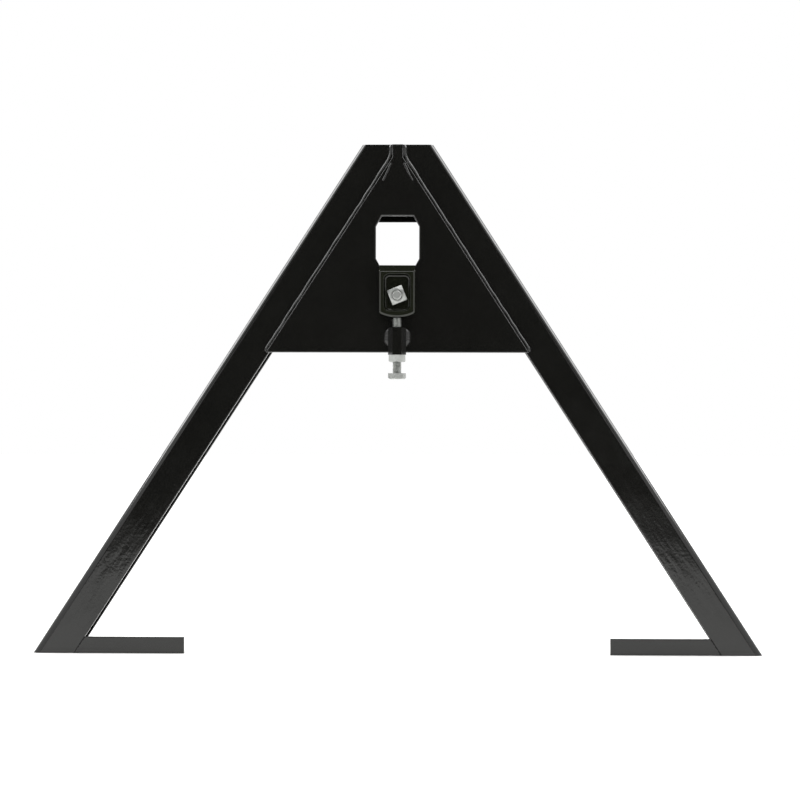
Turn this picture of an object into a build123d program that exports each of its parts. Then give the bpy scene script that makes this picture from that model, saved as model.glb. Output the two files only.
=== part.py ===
from build123d import *
import os
from math import atan2, cos, pi, sin, sqrt, tan

# A-frame hitch: the triangular half that is fixed to an implement. A triangle on the
# tractor rises between its two channel legs, and a latch on it passes through the
# opening in the plate and drops onto an adjustable keeper.
# Millimetres. X is the width, +Y points to the tractor, Z is up, and the floor is Z = 0.

# Overall size of the frame
base_width = 795.0
height = 555.0
top_width = 77.0

# Legs, channels formed from sheet with their mouths towards the middle
sheet = 5.0
inner_bend_radius = 2.0
channel_depth = 52.0
implement_flange = 38.0
tractor_flange = 38.0
edge_round = 1.0

# Latch plate, lapped on the implement side of the legs
plate_thickness = 6.0
plate_lap = 3.0
neck_half_width = 6.0

# Opening for the latch, with its four corners cut off
opening_below_top = 78.0
opening_width = 47.0
opening_height = 58.0
opening_corner_width = 6.3
opening_corner_height = 11.6

# Apex plate, lapped on the tractor side of the legs
apex_plate_thickness = 6.0
apex_plate_overhang = 3.7

# Foot bars at the bottom of the legs
foot_height = 18.0
foot_thickness = 6.0
foot_length = 108.6

# Weld beads
bead_crown = 0.8
foot_weld_gap = 3.0

# Thread and nut sizes of the M10 fasteners
thread_diameter = 10.0
thread_clearance = 0.05
nut_across_flats = 17.0
nut_height = 8.0
end_chamfer = 1.2
hex_chamfer = 1.4
chamfer_start = 0.93

# Keeper block that the latch rests on, with a recess for its clamp nut
keeper_rise = 4.0
keeper_depth = 18.0
keeper_floor = 6.0
keeper_wall = 5.0
keeper_head = 9.5
keeper_heel = 7.3
keeper_bow = 4.8
keeper_nose_radius = 7.0
keeper_corner_radius = 3.0
keeper_side_radius = 2.5
recess_height = 40.0
recess_nut_clearance = 2.5
recess_corner_radius = 6.5
recess_floor_radius = 3.0

# Clamp: a carriage bolt from the tractor side, through a slot in the plate
clamp_below_recess_centre = 3.0
clamp_bolt_end = 2.8
clamp_head_diameter = 24.0
clamp_head_rim = 1.2
clamp_head_shoulder = 18.0
clamp_head_shoulder_rise = 2.6
clamp_head_flat = 6.0
clamp_head_flat_rise = 1.4
neck_side = 10.0
neck_short = 1.1
neck_clearance = 0.25
shank_hole_clearance = 0.5
keeper_travel_up = 8.0
keeper_travel_down = 4.0
slot_end_clearance = 0.5
slot_corner_radius = 1.0
lock_washer_outer = 17.0
lock_washer_thickness = 2.2
lock_washer_clearance = 0.25
lock_washer_split = 1.6
square_nut_turn = 21.8
square_nut_ring = 15.3

# Adjuster: a long nut welded to the plate, a bolt that lifts the keeper and a lock nut
long_nut_length = 30.0
long_nut_overhang = 2.5
long_nut_weld_length = 20.0
long_nut_bead_height = 6.0
long_nut_bead_reach = 7.6
shank_above_long_nut = 10.2
lock_nut_travel = 3.5
lock_nut_spare = 0.3
bolt_head_height = 6.4
bolt_head_turn = 11.0
lock_nut_turn = 24.0
tip_gap = 0.2

# Places down the frame, each worked out from the piece above it
opening_top = height - opening_below_top
opening_bottom = opening_top - opening_height
apex_plate_bottom = opening_top - apex_plate_overhang
keeper_top = opening_bottom + keeper_rise
recess_top = keeper_top - keeper_head
recess_centre = recess_top - recess_height / 2
keeper_bottom = recess_top - recess_height - keeper_heel
clamp_height = recess_centre - clamp_below_recess_centre
long_nut_bottom = keeper_bottom - shank_above_long_nut - long_nut_length
plate_bottom = long_nut_bottom + long_nut_overhang

# Other sizes that follow
lean = atan2((base_width - top_width) / 2, height)
bead_leg = plate_thickness - edge_round
thread_radius = thread_diameter / 2
threaded_bore = thread_radius + thread_clearance
recess_width = nut_across_flats * sqrt(2) + 2 * recess_nut_clearance
keeper_width = recess_width + 2 * keeper_wall
keeper_front = -plate_thickness - keeper_depth
recess_floor = -plate_thickness - keeper_floor
clamp_bolt_length = lock_washer_thickness + nut_height + clamp_bolt_end - recess_floor
below_long_nut = nut_height + lock_nut_travel + keeper_travel_up + lock_nut_spare
adjusting_bolt_length = shank_above_long_nut + long_nut_length + below_long_nut
adjuster_y = -plate_thickness - nut_across_flats / 2
implement_reach = max(clamp_bolt_length, -keeper_front, nut_across_flats / 2 / cos(pi / 6) - adjuster_y)
tractor_reach = channel_depth + apex_plate_thickness
to_middle = (implement_reach - tractor_reach) / 2
spare = 10.0


def across(width):
    """Level width of a strip that is this wide square to the leg."""
    return width / cos(lean)


def inside_leg(z, width):
    """Distance from the centre line to a line this far inside the leg's outer edge."""
    return base_width / 2 - z * tan(lean) - across(width)


def knee(width):
    """Height at which that line reaches the side of the plates' narrow neck."""
    return (base_width / 2 - across(width) - neck_half_width) / tan(lean)


def trim_box(x_from, x_to, z_from, z_to):
    """Block that keeps what lies between these limits, over the whole depth."""
    deep = 2 * (implement_reach + tractor_reach)
    block = Box(x_to - x_from, deep, z_to - z_from, align=(Align.MIN, Align.CENTER, Align.MIN))
    return Pos(x_from, 0, z_from) * block


def leg_plane():
    """Plane square to the left leg: X into the mouth, Y to the tractor, Z up the leg."""
    down = -spare
    origin = (-base_width / 2 + down * sin(lean), 0, down * cos(lean))
    return Plane(origin=origin, x_dir=(cos(lean), 0, -sin(lean)), z_dir=(sin(lean), 0, cos(lean)))


def leg_length():
    return height / cos(lean) + implement_flange * tan(lean) + 2 * spare


def at(shape, *places):
    """Corners of a flat shape at the given places."""
    return [v for v in shape.vertices() for x, y in places if abs(v.X - x) + abs(v.Y - y) < 0.001]


def channel_section():
    """Channel: a web and two flanges, with round bends and softened edges."""
    far = channel_depth - sheet
    corners = [(0, 0), (implement_flange, 0), (implement_flange, sheet), (sheet, sheet)]
    corners += [(sheet, far), (tractor_flange, far), (tractor_flange, channel_depth), (0, channel_depth)]
    section = make_face(Polyline(*corners, close=True))
    section = fillet(at(section, (0, 0), (0, channel_depth)), inner_bend_radius + sheet)
    section = fillet(at(section, (sheet, sheet), (sheet, far)), inner_bend_radius)
    flange_edges = (corners[1], corners[2], corners[5], corners[6])
    return fillet(at(section, *flange_edges), edge_round)


def leg_channel():
    """Left leg, cut level at the floor and the top and mitred on the centre line."""
    leg = extrude(leg_plane() * channel_section(), leg_length())
    return leg & trim_box(-base_width / 2, 0, 0, height)


def plate_outline(bottom, width):
    """Triangle between the legs that ends in a narrow neck at the top."""
    low = inside_leg(bottom, width)
    neck = neck_half_width
    right = [(low, bottom), (neck, knee(width)), (neck, height)]
    left = [(-x, z) for x, z in reversed(right)]
    return make_face(Polyline(*right, *left, close=True))


def opening_outline():
    """Latch opening with cut corners."""
    half_width = opening_width / 2
    half_height = opening_height / 2
    corner = [(half_width - opening_corner_width, half_height)]
    corner += [(half_width, half_height - opening_corner_height)]
    points = corner + [(x, -z) for x, z in reversed(corner)]
    points += [(-x, -z) for x, z in corner] + [(-x, z) for x, z in reversed(corner)]
    return Pos(0, (opening_top + opening_bottom) / 2) * make_face(Polyline(*points, close=True))


def slot_outline():
    """Slot in which the clamp bolt's square neck slides with the keeper."""
    wide = neck_side + 2 * neck_clearance
    tall = neck_side + keeper_travel_up + keeper_travel_down + 2 * slot_end_clearance
    centre = clamp_height + (keeper_travel_up - keeper_travel_down) / 2
    return Pos(0, centre) * RectangleRounded(wide, tall, slot_corner_radius)


def latch_plate():
    """Plate with the latch opening and the clamp slot, its front edges softened."""
    outline = plate_outline(plate_bottom, implement_flange - plate_lap)
    plate = extrude(Plane.XZ * (outline - opening_outline()), plate_thickness)
    plate = fillet(plate.faces().sort_by(Axis.Y)[0].edges(), edge_round)
    return plate - extrude(Plane.XZ * slot_outline(), plate_thickness)


def apex_plate():
    """Smaller plate that ties the tractor-side flanges together at the top."""
    outline = plate_outline(apex_plate_bottom, tractor_flange - plate_lap)
    plate = extrude(Plane.XZ.offset(-tractor_reach) * outline, apex_plate_thickness)
    return fillet(plate.faces().sort_by(Axis.Y)[-1].edges(), edge_round)


def bead_section():
    """Fillet weld: two flat faces at right angles and a bowed one."""
    middle = bead_leg / 2 + bead_crown / sqrt(2)
    bow = ThreePointArc((bead_leg, 0), (middle, middle), (0, bead_leg))
    return make_face([Line((0, 0), (bead_leg, 0)), bow, Line((0, bead_leg), (0, 0))])


def plate_weld(bottom, width, face_y, towards_y):
    """Bead on a leg's flange along the right-hand edge of a lapped plate."""
    below = bottom - spare
    start = Vector(inside_leg(below, width), face_y, below)
    turn = Vector(neck_half_width, face_y, knee(width))
    end = Vector(neck_half_width, face_y, height)
    outward = Vector(cos(lean), 0, sin(lean))
    plane = Plane(origin=start, x_dir=outward, z_dir=outward.cross(Vector(0, towards_y, 0)))
    bead = sweep(plane * bead_section(), path=Polyline(start, turn, end), transition=Transition.RIGHT)
    return bead & trim_box(0, base_width / 2, bottom, height)


def foot_bar():
    """Left foot bar, flush with the leg and cut to the slope of its flange."""
    root = implement_flange + foot_weld_gap
    inner_end = inside_leg(foot_height, implement_flange) - foot_length
    points = [(-inner_end, 0), (-inner_end, foot_height)]
    points += [(-inside_leg(z, root), z) for z in (foot_height, 0)]
    outline = make_face(Polyline(*points, close=True))
    bar = extrude(Plane.XZ * outline, -foot_thickness)
    return fillet(bar.edges().filter_by(Axis.X), edge_round)


def foot_weld():
    """Butt weld between the left flange's edge and the foot bar, with a low crown."""
    root = implement_flange + foot_weld_gap
    middle = implement_flange + foot_weld_gap / 2
    crown = ThreePointArc((implement_flange, 0), (middle, -bead_crown), (root, 0))
    sides = Polyline((root, 0), (root, sheet), (implement_flange, sheet), (implement_flange, 0))
    bead = extrude(leg_plane() * make_face([crown, *sides.edges()]), leg_length())
    return bead & trim_box(-base_width / 2, 0, 0, foot_height)


def hex_piece(length, bottom_chamfered=True, top_chamfered=True):
    """Hexagon along +Z with its corners turned down at the ends."""
    corner = nut_across_flats / 2 / cos(pi / 6)
    face = nut_across_flats / 2 * chamfer_start
    bottom_step = hex_chamfer if bottom_chamfered else 0
    top_step = hex_chamfer if top_chamfered else 0
    side = [(0, 0), (face if bottom_chamfered else corner, 0), (corner, bottom_step)]
    side += [(corner, length - top_step), (face if top_chamfered else corner, length), (0, length)]
    points = [p for i, p in enumerate(side) if p != side[i - 1]]
    turned = revolve(Plane.XZ * make_face(Polyline(*points, close=True)), Axis.Z)
    return turned & extrude(RegularPolygon(nut_across_flats / 2, 6, major_radius=False), length)


def shank(length):
    """Round bolt shank up +Z with a chamfered tip."""
    rod = Cylinder(thread_radius, length, align=(Align.CENTER, Align.CENTER, Align.MIN))
    return chamfer(rod.edges().sort_by(Axis.Z)[-1], end_chamfer)


def threaded_hole(length):
    return Cylinder(threaded_bore, length, align=(Align.CENTER, Align.CENTER, Align.MIN))


def long_nut():
    """Long nut with one flat against the plate."""
    nut = hex_piece(long_nut_length, bottom_chamfered=False) - threaded_hole(long_nut_length)
    return Pos(0, adjuster_y, long_nut_bottom) * nut


def long_nut_weld():
    """Bead between the plate and the right-hand slope of the long nut."""
    foot = nut_across_flats / 2 * tan(pi / 6)
    up = (foot + long_nut_bead_height * tan(pi / 6), -long_nut_bead_height)
    out = (foot + long_nut_bead_reach, 0)
    middle = ((up[0] + out[0]) / 2 + bead_crown, (up[1] + out[1]) / 2 - bead_crown)
    section = make_face([Line((foot, 0), up), ThreePointArc(up, middle, out), Line(out, (foot, 0))])
    start = long_nut_bottom + long_nut_length - long_nut_weld_length - hex_chamfer
    return Pos(0, -plate_thickness, start) * extrude(section, long_nut_weld_length)


def keeper_front_outline():
    """Front view of the keeper: straight sides, a bowed bottom and round corners beside it."""
    half = keeper_width / 2
    low = keeper_bottom + keeper_bow
    bow = ThreePointArc((-half, low), (0, keeper_bottom), (half, low))
    rest = Polyline((half, low), (half, keeper_top), (-half, keeper_top), (-half, low))
    face = make_face([bow, *rest.edges()])
    return fillet(at(face, (half, low), (-half, low)), keeper_corner_radius)


def keeper_side_outline():
    """Side view of the keeper, with a round nose at the top front for the latch to ride over."""
    tall = keeper_top - keeper_bottom
    side = Pos(keeper_front, keeper_bottom) * Rectangle(keeper_depth, tall, align=(Align.MIN, Align.MIN))
    return fillet(at(side, (keeper_front, keeper_top)), keeper_nose_radius)


def recess():
    """Space for the clamp nut, whose walls run into the floor in a wide curve."""
    mouth = Pos(0, recess_centre) * RectangleRounded(recess_width, recess_height, recess_corner_radius)
    space = extrude(Plane.XZ.offset(-keeper_front) * mouth, keeper_floor - keeper_depth)
    return fillet(space.faces().sort_by(Axis.Y)[-1].edges(), recess_floor_radius)


def keeper_block():
    """Keeper that the latch rests on, with a recess for the clamp nut."""
    front = extrude(Plane.XZ.offset(plate_thickness) * keeper_front_outline(), keeper_depth)
    side = extrude(Plane.YZ * keeper_side_outline(), keeper_width / 2, both=True)
    block = front & side
    edges = block.faces().sort_by(Axis.Y)[0].edges().filter_by(Axis.Z)
    block = fillet(edges, keeper_side_radius)
    hole = Cylinder(thread_radius + shank_hole_clearance, 2 * keeper_depth, rotation=(90, 0, 0))
    return block - recess() - Pos(0, keeper_front, clamp_height) * hole


def carriage_bolt():
    """Clamp bolt: a low head on the tractor side, a square neck and a round shank."""
    half = clamp_head_diameter / 2
    shoulder = (clamp_head_shoulder / 2, clamp_head_rim + clamp_head_shoulder_rise)
    flat = (clamp_head_flat / 2, shoulder[1] + clamp_head_flat_rise)
    side = Polyline((0, 0), (half, 0), (half, clamp_head_rim), shoulder, flat, (0, flat[1]), close=True)
    head = revolve(Plane.XZ * make_face(side), Axis.Z)
    neck_length = plate_thickness - neck_short
    neck = Box(neck_side, neck_side, neck_length, align=(Align.CENTER, Align.CENTER, Align.MAX))
    rod = Rot(180, 0, 0) * shank(clamp_bolt_length)
    return Pos(0, 0, clamp_height) * Rot(-90, 0, 0) * (head + neck + rod)


def lock_washer():
    """Split spring washer, pressed flat on the floor of the keeper's recess."""
    outer = lock_washer_outer / 2
    ring = Circle(outer) - Circle(thread_radius + lock_washer_clearance)
    split = Rectangle(outer, lock_washer_split, align=(Align.MIN, Align.CENTER))
    washer = extrude(ring - Rot(0, 0, 90 + square_nut_turn) * split, lock_washer_thickness)
    return Pos(0, recess_floor, clamp_height) * Rot(90, 0, 0) * washer


def square_nut():
    """Square clamp nut, its front corners turned down to a ring."""
    half_diagonal = nut_across_flats / sqrt(2)
    ring = square_nut_ring / 2
    slope = (half_diagonal - ring) * tan(pi / 6)
    side = [(0, 0), (half_diagonal, 0), (half_diagonal, nut_height - slope)]
    side += [(ring, nut_height), (0, nut_height)]
    turned = revolve(Plane.XZ * make_face(Polyline(*side, close=True)), Axis.Z)
    blank = extrude(Rectangle(nut_across_flats, nut_across_flats), nut_height)
    nut = Rot(0, 0, square_nut_turn) * (blank & turned) - threaded_hole(nut_height)
    return Pos(0, recess_floor - lock_washer_thickness, clamp_height) * Rot(90, 0, 0) * nut


def adjusting_bolt():
    """Hexagon bolt, head down, whose tip carries the keeper."""
    head = Rot(0, 0, bolt_head_turn) * hex_piece(bolt_head_height, top_chamfered=False)
    bolt = shank(adjusting_bolt_length) + Pos(0, 0, -bolt_head_height) * head
    return Pos(0, adjuster_y, keeper_bottom - tip_gap - adjusting_bolt_length) * bolt


def lock_nut():
    """Nut that is run up against the long nut to hold the bolt."""
    nut = Rot(0, 0, lock_nut_turn) * hex_piece(nut_height, top_chamfered=False) - threaded_hole(nut_height)
    return Pos(0, adjuster_y, long_nut_bottom - nut_height) * nut


def other_side(shape):
    return mirror(shape, about=Plane.YZ)


leg = leg_channel()
foot = foot_bar()
foot_bead = foot_weld()
plate_bead = plate_weld(plate_bottom, implement_flange - plate_lap, 0, -1)
apex_bead = plate_weld(apex_plate_bottom, tractor_flange - plate_lap, channel_depth, 1)
nut_bead = long_nut_weld()

pieces = {
    "left_leg_channel": leg,
    "right_leg_channel": other_side(leg),
    "latch_plate": latch_plate(),
    "apex_plate": apex_plate(),
    "left_foot_bar": foot,
    "right_foot_bar": other_side(foot),
    "left_plate_weld": other_side(plate_bead),
    "right_plate_weld": plate_bead,
    "left_apex_weld": other_side(apex_bead),
    "right_apex_weld": apex_bead,
    "left_foot_weld": foot_bead,
    "right_foot_weld": other_side(foot_bead),
    "long_nut": long_nut(),
    "left_long_nut_weld": other_side(nut_bead),
    "right_long_nut_weld": nut_bead,
    "keeper_block": keeper_block(),
    "clamp_carriage_bolt": carriage_bolt(),
    "clamp_lock_washer": lock_washer(),
    "clamp_square_nut": square_nut(),
    "adjusting_bolt": adjusting_bolt(),
    "adjuster_lock_nut": lock_nut(),
}

os.makedirs("parts", exist_ok=True)
for name, shape in pieces.items():
    export_step(Pos(0, to_middle, 0) * shape, f"parts/{name}.step")
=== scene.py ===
from math import acos, atan2, ceil, cos, exp, pi, radians, sin, sqrt, tan

import bmesh
import bpy
from bpy.props import FloatProperty, FloatVectorProperty, IntProperty
from mathutils import Matrix, Vector, noise


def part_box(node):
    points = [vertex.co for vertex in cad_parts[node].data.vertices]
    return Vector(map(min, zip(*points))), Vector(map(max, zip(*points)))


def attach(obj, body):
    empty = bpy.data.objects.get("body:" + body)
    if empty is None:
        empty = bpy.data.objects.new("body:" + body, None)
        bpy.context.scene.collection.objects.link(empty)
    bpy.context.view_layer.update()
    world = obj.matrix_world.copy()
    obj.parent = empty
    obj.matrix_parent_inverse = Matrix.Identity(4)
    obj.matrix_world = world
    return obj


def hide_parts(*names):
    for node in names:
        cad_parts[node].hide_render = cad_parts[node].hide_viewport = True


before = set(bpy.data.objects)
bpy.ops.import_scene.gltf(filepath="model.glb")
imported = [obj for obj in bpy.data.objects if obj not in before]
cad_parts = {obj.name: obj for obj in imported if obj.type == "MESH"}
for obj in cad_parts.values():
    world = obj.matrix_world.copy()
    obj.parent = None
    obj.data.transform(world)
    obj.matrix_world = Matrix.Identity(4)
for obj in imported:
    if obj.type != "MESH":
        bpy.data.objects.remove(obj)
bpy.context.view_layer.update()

bl_info = {
    "name": "A-frame hitch",
    "version": (1, 0, 0),
    "blender": (4, 5, 0),
    "location": "View3D > Sidebar > Hitch",
    "description": "Models and finishes the pieces of an implement's A-frame hitch",
    "category": "Object",
}

MM = 0.001

# Places that the packed frame gives
leg_low, leg_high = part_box("right_leg_channel")
plate_low, plate_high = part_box("latch_plate")
apex_low, apex_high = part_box("apex_plate")
foot_low, foot_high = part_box("right_foot_bar")
keeper_low, keeper_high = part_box("keeper_block")
long_nut_low, long_nut_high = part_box("long_nut")
bolt_low, bolt_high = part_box("adjusting_bolt")
lock_nut_low, lock_nut_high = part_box("adjuster_lock_nut")
clamp_low, clamp_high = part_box("clamp_carriage_bolt")
washer_low, washer_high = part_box("clamp_lock_washer")
square_nut_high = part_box("clamp_square_nut")[1]
flange_face = leg_low.y
plate_face = plate_low.y
height = leg_high.z
half_base = leg_high.x
clamp_height = (clamp_low.z + clamp_high.z) / 2
adjuster_y = (bolt_low.y + bolt_high.y) / 2


def linear(hex_colour):
    """An sRGB hex colour as linear values."""
    parts = [int(hex_colour[i:i + 2], 16) / 255 for i in (1, 3, 5)]
    return tuple(c / 12.92 if c <= 0.04045 else ((c + 0.055) / 1.055) ** 2.4 for c in parts)


def length(name, description, millimetres):
    return FloatProperty(name=name, description=description, default=millimetres * MM, unit="LENGTH",
                         precision=5)


def share(name, description, value, most=1.0):
    return FloatProperty(name=name, description=description, default=value, min=0.0, max=most,
                         subtype="FACTOR")


def angle(name, description, degrees):
    return FloatProperty(name=name, description=description, default=radians(degrees), unit="ROTATION")


def colour(name, description, hex_colour):
    return FloatVectorProperty(name=name, description=description, default=linear(hex_colour),
                               subtype="COLOR")


class HitchSteel(bpy.types.PropertyGroup):
    """Sizes of the channels, the plates and the foot bars."""
    top_width: length("Top width", "Width across the cut top", 77.0)
    sheet: length("Sheet", "Thickness of the channels' steel", 5.0)
    outer_bend: length("Outer bend", "Outside radius of a bend", 7.0)
    inner_bend: length("Inner bend", "Inside radius of a bend", 2.0)
    implement_flange: length("Implement flange", "Width of the implement side's flange", 38.0)
    tractor_flange: length("Tractor flange", "Width of the tractor side's flange", 38.0)
    edge_round: length("Edge round", "Radius of the edges of the flanges and foot bars", 1.0)
    plate_round: length("Plate round", "Radius of the plates' painted edges", 1.5)
    burr: length("Burr", "Rounding by the paint on a sawn edge", 0.35)
    plate_lap: length("Plate lap", "From a flange's edge in to a plate's edge", 3.0)
    neck_half_width: length("Neck half width", "Half the width of the plates' tops", 6.0)
    opening_below_top: length("Opening below top", "From the cut top to the latch opening", 78.0)
    opening_width: length("Opening width", "Width of the latch opening", 47.0)
    opening_height: length("Opening height", "Height of the latch opening", 58.0)
    opening_corner_width: length("Corner width", "Width of the opening's cut corners", 6.3)
    opening_corner_height: length("Corner height", "Height of the opening's cut corners", 11.6)
    slot_width: length("Slot width", "Width of the clamp bolt's slot", 10.5)
    slot_height: length("Slot height", "Height of the clamp bolt's slot", 23.0)
    slot_rise: length("Slot rise", "From the clamp bolt up to the slot's middle", 2.0)
    foot_weld_gap: length("Foot weld gap", "Gap that the foot weld fills", 3.0)


class HitchKeeper(bpy.types.PropertyGroup):
    """Sizes of the keeper block and its recess."""
    bow: length("Bow", "How far the bottom bows below its corners", 4.8)
    ramp: length("Ramp", "Size of the sloped face that the latch rides over", 7.0)
    corner_radius: length("Corner radius", "Radius of the bottom corners", 3.0)
    side_radius: length("Side radius", "Radius of the front edges", 2.5)
    ramp_radius: length("Ramp radius", "Radius of the ramp's edges", 0.6)
    head: length("Head", "From the top down to the recess", 9.5)
    recess_width: length("Recess width", "Width of the recess", 29.0)
    recess_height: length("Recess height", "Height of the recess", 40.0)
    recess_corner: length("Recess corner", "Corner radius of the recess", 6.5)
    recess_floor_radius: length("Floor radius", "Radius round the recess's floor", 3.0)
    recess_rim: length("Rim", "Rounding of the recess's mouth", 0.5)
    floor: length("Floor", "Thickness behind the recess", 6.0)
    bolt_hole: length("Bolt hole", "Radius of the hole for the clamp bolt", 5.5)


class HitchFasteners(bpy.types.PropertyGroup):
    """Sizes of the bolts, nuts and washer."""
    thread_radius: length("Thread radius", "Outer radius of the threads", 5.0)
    pitch: length("Pitch", "Advance of the threads in one turn", 1.5)
    bore_radius: length("Bore radius", "Radius of the nuts' bores", 5.05)
    countersink: length("Countersink", "Depth of the cone at a nut's bore", 0.7)
    tip_chamfer: length("Tip chamfer", "Cone at a bolt's tip", 1.2)
    across_flats: length("Across flats", "Width of nuts and head across their flats", 17.0)
    head_height: length("Head height", "Height of the adjusting bolt's head", 6.4)
    bolt_head_turn: angle("Bolt head turn", "Turn of the bolt's head", 11.0)
    lock_nut_turn: angle("Lock nut turn", "Turn of the lock nut", 24.0)
    square_nut_turn: angle("Square nut turn", "Turn of the clamp nut", 21.8)
    square_nut_ring: length("Nut ring", "Diameter of the ring on the clamp nut", 15.3)
    square_nut_height: length("Square nut height", "Thickness of the clamp nut", 8.0)
    dome_rim: length("Dome rim", "Height of the rim under the clamp bolt's dome", 1.0)
    neck_side: length("Neck side", "Width of the clamp bolt's square neck", 10.0)
    neck_length: length("Neck length", "Length of the clamp bolt's square neck", 4.9)
    washer_bore: length("Washer bore", "Radius of the spring washer's hole", 5.25)
    washer_split: length("Washer split", "Gap between the spring washer's ends", 1.6)


class HitchWelds(bpy.types.PropertyGroup):
    """Sizes of the weld beads."""
    leg: length("Leg", "Width of a fillet on each of its faces", 4.6)
    crown: length("Crown", "How far a fillet bulges past a flat face", 0.9)
    ripple: length("Ripple", "Spacing of the ripples along a bead", 3.1)
    ripple_height: length("Ripple height", "Height of a ripple under the paint", 0.10)
    waver: length("Waver", "How far a bead's edge wanders", 0.45)
    waver_length: length("Waver length", "Length over which a bead's edge wanders", 11.0)
    swell: share("Swell", "Extra width where two passes meet near a seam's top", 0.12)
    swell_length: length("Swell length", "Length of that wider stretch", 14.0)
    short_width: length("Short bead", "Width of the short beads near the top", 3.2)
    short_bold: share("Short bead crown", "Share of the crown that the short beads have", 1.8, most=3.0)
    foot_bold: share("Foot weld crown", "Share of the crown that the flat foot welds have", 0.2)


class HitchFinish(bpy.types.PropertyGroup):
    """Colours and surface qualities of the finishes."""
    enamel: colour("Enamel", "Black enamel of the frame", "#10100F")
    enamel_pale: colour("Enamel, thin", "Black enamel where the coat is thin", "#171715")
    # The keeper's colour is lighter and more olive than the frame's enamel. Part of that is its own coat, and
    # part is painted light: it stands in for the brighter, olive reflection that the keeper shows.
    keeper: colour("Keeper enamel", "Enamel on the keeper", "#1A1C14")
    zinc: colour("Zinc", "Bright zinc plate", "#C4C6C4")
    zinc_dull: colour("Zinc, dull", "Zinc plate where it has dulled", "#9FA19D")
    enamel_roughness: share("Enamel roughness", "Roughness of the enamel", 0.10)
    zinc_roughness: share("Zinc roughness", "Roughness of the zinc plate", 0.46)
    peel: length("Orange peel", "Width of the sprayed coat's dimples", 3.2)
    peel_depth: length("Peel depth", "Depth of those dimples", 0.035)
    wave_depth: length("Wave depth", "Depth of the long rolling marks", 0.16)


class HitchStage(bpy.types.PropertyGroup):
    """Camera, floor and lamps."""
    camera_x: length("Camera X", "How far right of the centre the camera stands", 91.0)
    camera_height: length("Camera height", "Height of the camera over the floor", 277.0)
    camera_distance: length("Camera distance", "From the frame's middle to the camera", 3373.0)
    aim_x: length("Aim X", "Where the view's middle meets the implement face", 2.5)
    roll: angle("Roll", "Roll of the camera", -0.13)
    lens: FloatProperty(name="Lens", description="Focal length on a 36 mm wide sensor", default=138.85,
                        subtype="DISTANCE_CAMERA")
    floor_radius: length("Floor radius", "Radius of the floor", 12000.0)
    screen_distance: length("Screen distance", "From the object to the dark screens", 2060.0)
    screen_height: length("Screen height", "Height of the dark screens", 1900.0)
    floor_colour: colour("Floor", "Colour of the floor", "#F4F4F2")
    seed: IntProperty(name="Seed", description="Seed of the noise in the welds", default=4)


# Shared modelling steps

# Vertices closer than this are one
MERGE = 0.0001 * MM
# Vertices closer than this to a line or plane are on it
TOUCH = 0.01 * MM
# Least share of a direction in the normal of a face that looks that way
FACING = 0.999
# Sharpest angle, in degrees, that is shaded smooth
CREASE = 32.0
BEAD_CREASE = 60


def leg_lean(steel):
    """Angle between a leg and the vertical."""
    return atan2(half_base - steel.top_width / 2, height)


def inside_leg(steel, z, width):
    """Distance from the centre plane to a line this far inside a leg's outer edge."""
    lean = leg_lean(steel)
    return half_base - z * tan(lean) - width / cos(lean)


def outline(bm, points, y):
    """A closed chain of edges through X and Z points, at one Y."""
    verts = [bm.verts.new((x, y, z)) for x, z in points]
    return [bm.edges.new((verts[i - 1], verts[i])) for i in range(len(verts))]


def push(bm, faces, move):
    """Extrudes faces along a vector and returns the faces that moved."""
    made = bmesh.ops.extrude_face_region(bm, geom=faces)["geom"]
    bmesh.ops.translate(bm, verts=[v for v in made if isinstance(v, bmesh.types.BMVert)], vec=move)
    inside = [f for f in faces if any(len(e.link_faces) > 2 for e in f.edges)]
    bmesh.ops.delete(bm, geom=inside, context="FACES_ONLY")
    return [f for f in made if isinstance(f, bmesh.types.BMFace)]


def round_off(bm, geom, radius, segments, affect="EDGES"):
    bmesh.ops.bevel(bm, geom=geom, offset=radius, offset_type="OFFSET", segments=segments, profile=0.5,
                    affect=affect, material=-1)


def block(size, middle):
    """A box of the given size round its middle."""
    bm = bmesh.new()
    bmesh.ops.create_cube(bm, size=1)
    matrix = Matrix.Translation(middle) @ Matrix.Diagonal((*size, 1))
    bmesh.ops.transform(bm, matrix=matrix, verts=bm.verts)
    return bm


def spin(bm, geom, steps, turn=2 * pi, **more):
    """Sweeps geometry round the Z axis."""
    bmesh.ops.spin(bm, geom=geom, cent=(0, 0, 0), axis=(0, 0, 1), angle=turn, steps=steps, **more)


def cut_off(bm, point, normal):
    """Cuts away what lies past a plane and closes the cut."""
    geom = bm.verts[:] + bm.edges[:] + bm.faces[:]
    cut = bmesh.ops.bisect_plane(bm, geom=geom, plane_co=point, plane_no=normal, clear_outer=True)["geom_cut"]
    bmesh.ops.edgeloop_fill(bm, edges=[e for e in cut if isinstance(e, bmesh.types.BMEdge)])


def cut_level(bm, low, high):
    """Cuts away what lies below one height and above another."""
    cut_off(bm, (0, 0, low), (0, 0, -1))
    cut_off(bm, (0, 0, high), (0, 0, 1))


def face_outwards(bm):
    bmesh.ops.remove_doubles(bm, verts=bm.verts, dist=MERGE)
    bmesh.ops.recalc_face_normals(bm, faces=bm.faces)


def other_side(bm):
    """Mirrors a mesh across the centre plane, with its faces turned out again."""
    bmesh.ops.scale(bm, vec=(-1, 1, 1), verts=bm.verts)
    bmesh.ops.reverse_faces(bm, faces=bm.faces)


def add_object(name, data):
    made = bpy.data.objects.new(name, data)
    bpy.context.scene.collection.objects.link(made)
    return made


def mesh_object(name, bm, material=None):
    """Turns a finished mesh into an object."""
    mesh = bpy.data.meshes.new(name)
    bm.to_mesh(mesh)
    bm.free()
    if material is not None:
        mesh.materials.append(material)
    return add_object(name, mesh)


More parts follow.
